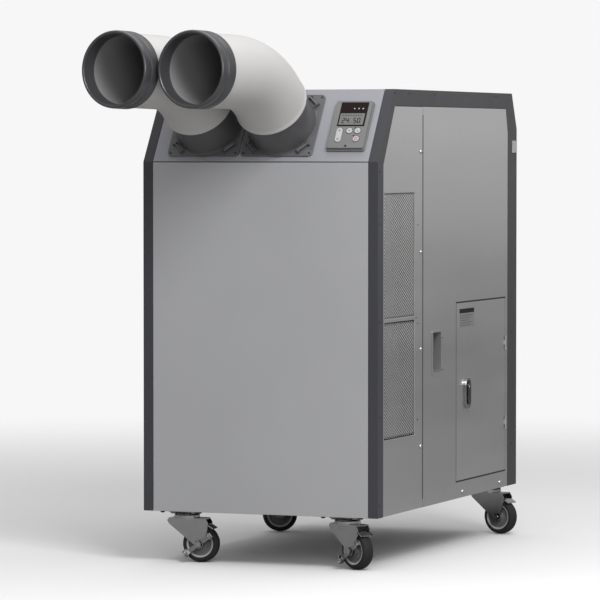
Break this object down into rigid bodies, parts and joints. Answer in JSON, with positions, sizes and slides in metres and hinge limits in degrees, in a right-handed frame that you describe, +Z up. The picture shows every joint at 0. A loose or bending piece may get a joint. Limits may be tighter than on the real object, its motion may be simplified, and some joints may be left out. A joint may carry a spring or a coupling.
{
  "type": "portable spot dehumidifier",
  "caption": "Wheeled sheet-metal spot cooler and dehumidifier with turnable twin outlet ducts, sloped control face, side screens, drain-tank door and braked swivel casters.",
  "frame": {"origin": "on the floor, under the middle of the bounding box", "axes": "+Z up, the front and the duct outlets face -Y, +X is the machine's right side seen from the front, where the drain-tank door is"},
  "size_m": [0.538, 1.2328, 1.0566],
  "materials": {
    "dark_frame": "semi-gloss dark grey powder coat with a fine texture",
    "front_paint": "satin mid-grey powder coat",
    "slope_paint": "satin light grey powder coat",
    "satin_steel": "satin sheet metal",
    "screen_mesh": "perforated satin sheet metal",
    "galvanised": "galvanised sheet",
    "dark_plastic": "dark grey moulded plastic",
    "duct_plastic": "warm light grey moulded plastic",
    "control_plastic": "light grey moulded plastic",
    "window_black": "gloss black window",
    "chrome_latch": "bright chrome",
    "zinc_plate": "bright zinc plated steel",
    "caster_hub": "grey moulded plastic",
    "caster_tyre": "dark grey rubber",
    "coil_metal": "aluminium fins on copper tube",
    "black_enamel": "black enamel",
    "tank_plastic": "translucent white moulded plastic",
    "gland_plastic": "black moulded plastic"
  },
  "bodies": {
    "cabinet": {"base_pan": "galvanised", "side_frame_left": "dark_frame", "side_frame_right": "dark_frame", "front_panel": "front_paint", "outlet_panel": "slope_paint", "top_panel": "front_paint", "rear_panel": "satin_steel", "cord_gland": "gland_plastic", "filter_panel_left": "satin_steel", "filter_panel_right": "satin_steel", "screen_left_lower": "screen_mesh", "screen_left_upper": "screen_mesh", "screen_right_lower": "screen_mesh", "screen_right_upper": "screen_mesh", "service_panel_left": "satin_steel", "service_panel_right": "satin_steel", "grip_cup_left": "satin_steel", "grip_cup_right": "satin_steel", "duct_collar_left": "dark_plastic", "duct_collar_right": "dark_plastic", "control_housing": "control_plastic", "display_window": "window_black", "evaporator_coil": "coil_metal", "condenser_coil": "coil_metal", "compressor": "black_enamel", "electrical_box": "galvanised", "drain_tank": "tank_plastic", "blower_housing": "galvanised", "fan_motor": "black_enamel", "caster_plate_front_left": "zinc_plate", "caster_plate_front_right": "zinc_plate", "caster_plate_rear_left": "zinc_plate", "caster_plate_rear_right": "zinc_plate"},
    "duct_left": {"duct_elbow_left": "duct_plastic", "outlet_ring_left": "dark_plastic"},
    "duct_right": {"duct_elbow_right": "duct_plastic", "outlet_ring_right": "dark_plastic"},
    "access_door": {"access_door": "satin_steel", "latch_case": "chrome_latch"},
    "latch_lever": {"latch_lever": "chrome_latch"},
    "rocker_key": {"rocker_key": "control_plastic"},
    "mode_key": {"mode_key": "control_plastic"},
    "timer_key": {"timer_key": "control_plastic"},
    "power_key": {"power_key": "control_plastic"},
    "blower_wheel": {"blower_wheel": "galvanised"},
    "condenser_fan": {"condenser_fan": "galvanised"},
    "caster_front_left": {"caster_fork_front_left": "zinc_plate"},
    "wheel_front_left": {"caster_hub_front_left": "caster_hub", "caster_tyre_front_left": "caster_tyre"},
    "brake_front_left": {"brake_pedal_front_left": "zinc_plate"},
    "caster_front_right": {"caster_fork_front_right": "zinc_plate"},
    "wheel_front_right": {"caster_hub_front_right": "caster_hub", "caster_tyre_front_right": "caster_tyre"},
    "brake_front_right": {"brake_pedal_front_right": "zinc_plate"},
    "caster_rear_left": {"caster_fork_rear_left": "zinc_plate"},
    "wheel_rear_left": {"caster_hub_rear_left": "caster_hub", "caster_tyre_rear_left": "caster_tyre"},
    "caster_rear_right": {"caster_fork_rear_right": "zinc_plate"},
    "wheel_rear_right": {"caster_hub_rear_right": "caster_hub", "caster_tyre_rear_right": "caster_tyre"}
  },
  "joints": [
    {"name": "duct_left_turn", "type": "hinge", "parent": "cabinet", "child": "duct_left", "pos_m": [-0.12119, -0.28011, 0.91735], "axis": [0, -0.8347, 0.5507], "range_deg": [-180, 0]},
    {"name": "duct_right_turn", "type": "hinge", "parent": "cabinet", "child": "duct_right", "pos_m": [0.03491, -0.28011, 0.91735], "axis": [0, -0.8347, 0.5507], "range_deg": [0, 180]},
    {"name": "access_door_swing", "type": "hinge", "parent": "cabinet", "child": "access_door", "pos_m": [0.25431, 0.52736, 0.326], "axis": [0, 0, 1], "range_deg": [0, 110]},
    {"name": "latch_lever_pull", "type": "hinge", "parent": "access_door", "child": "latch_lever", "pos_m": [0.25701, 0.27436, 0.34], "axis": [0, -1, 0], "range_deg": [0, 30], "stiffness_Nm_per_rad": 0.3},
    {"name": "rocker_key_tilt", "type": "hinge", "parent": "cabinet", "child": "rocker_key", "pos_m": [0.16121, -0.23927, 0.85686], "axis": [1, 0, 0], "range_deg": [-4, 4], "stiffness_Nm_per_rad": 0.05},
    {"name": "mode_key_press", "type": "slide", "parent": "cabinet", "child": "mode_key", "axis": [0, 0.8347, -0.5507], "range_m": [0, 0.0012], "stiffness_N_per_m": 300},
    {"name": "timer_key_press", "type": "slide", "parent": "cabinet", "child": "timer_key", "axis": [0, 0.8347, -0.5507], "range_m": [0, 0.0012], "stiffness_N_per_m": 300},
    {"name": "power_key_press", "type": "slide", "parent": "cabinet", "child": "power_key", "axis": [0, 0.8347, -0.5507], "range_m": [0, 0.0012], "stiffness_N_per_m": 300},
    {"name": "blower_wheel_spin", "type": "hinge", "parent": "cabinet", "child": "blower_wheel", "pos_m": [-0.04279, -0.02264, 0.795], "axis": [1, 0, 0], "continuous": true},
    {"name": "condenser_fan_spin", "type": "hinge", "parent": "cabinet", "child": "condenser_fan", "pos_m": [0.00221, 0.54936, 0.665], "axis": [0, 1, 0], "continuous": true},
    {"name": "caster_front_left_swivel", "type": "hinge", "parent": "cabinet", "child": "caster_front_left", "pos_m": [-0.17579, -0.20864, 0.092], "axis": [0, 0, 1], "continuous": true},
    {"name": "wheel_front_left_roll", "type": "hinge", "parent": "caster_front_left", "child": "wheel_front_left", "pos_m": [-0.14596, -0.20551, 0.0375], "axis": [-0.1045, 0.9945, 0], "continuous": true},
    {"name": "brake_front_left_press", "type": "hinge", "parent": "caster_front_left", "child": "brake_front_left", "pos_m": [-0.14596, -0.20551, 0.0375], "axis": [-0.1045, 0.9945, 0], "range_deg": [-22, 0]},
    {"name": "caster_front_right_swivel", "type": "hinge", "parent": "cabinet", "child": "caster_front_right", "pos_m": [0.17021, -0.21264, 0.092], "axis": [0, 0, 1], "continuous": true},
    {"name": "wheel_front_right_roll", "type": "hinge", "parent": "caster_front_right", "child": "wheel_front_right", "pos_m": [0.1967, -0.22673, 0.0375], "axis": [0.4695, 0.8829, 0], "continuous": true},
    {"name": "brake_front_right_press", "type": "hinge", "parent": "caster_front_right", "child": "brake_front_right", "pos_m": [0.1967, -0.22673, 0.0375], "axis": [0.4695, 0.8829, 0], "range_deg": [-22, 0]},
    {"name": "caster_rear_left_swivel", "type": "hinge", "parent": "cabinet", "child": "caster_rear_left", "pos_m": [-0.20379, 0.45236, 0.092], "axis": [0, 0, 1], "continuous": true},
    {"name": "wheel_rear_left_roll", "type": "hinge", "parent": "caster_rear_left", "child": "wheel_rear_left", "pos_m": [-0.2318, 0.44161, 0.0375], "axis": [0.3584, -0.9336, 0], "continuous": true},
    {"name": "caster_rear_right_swivel", "type": "hinge", "parent": "cabinet", "child": "caster_rear_right", "pos_m": [0.20221, 0.57336, 0.092], "axis": [0, 0, 1], "continuous": true},
    {"name": "wheel_rear_right_roll", "type": "hinge", "parent": "caster_rear_right", "child": "wheel_rear_right", "pos_m": [0.23119, 0.56559, 0.0375], "axis": [0.2588, 0.9659, 0], "continuous": true}
  ]
}
